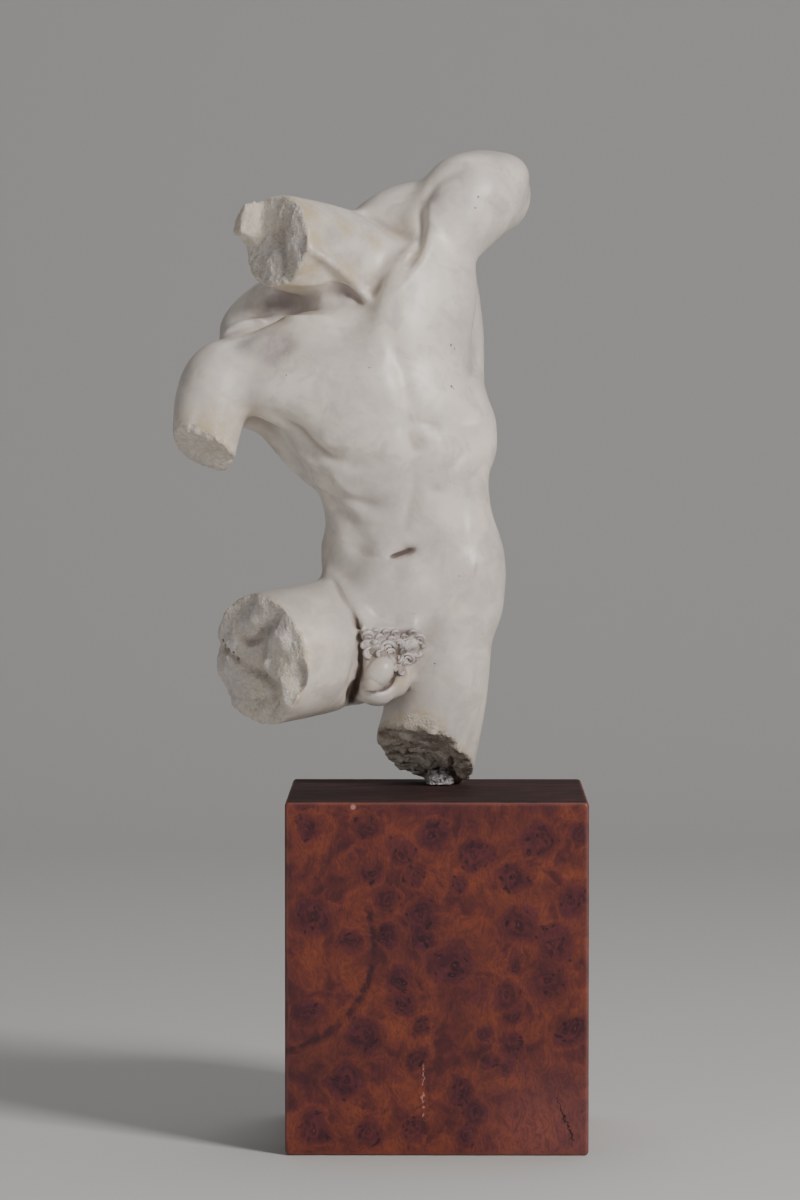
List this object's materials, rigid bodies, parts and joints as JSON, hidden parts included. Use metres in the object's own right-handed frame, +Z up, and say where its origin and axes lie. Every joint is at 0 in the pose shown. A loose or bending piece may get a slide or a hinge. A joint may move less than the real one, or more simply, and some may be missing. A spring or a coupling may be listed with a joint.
{
  "type": "male torso fragment on plinth",
  "caption": "Carved marble torso of a man, broken at neck, arms and thighs, held by mortar on a square burr-wood block.",
  "frame": {"origin": "centre of the plinth's underside", "axes": "+Z up through the plinth, -Y towards the front of the figure, +X to the viewer's right"},
  "size_m": [0.1661, 0.12, 0.3994],
  "materials": {
    "marble": "satin polish, granular where broken",
    "mortar": "matt, rough",
    "burr_wood": "waxed, satin gloss"
  },
  "bodies": {
    "root": {"torso": "marble", "fixing_mortar": "mortar", "plinth": "burr_wood"}
  },
  "joints": []
}
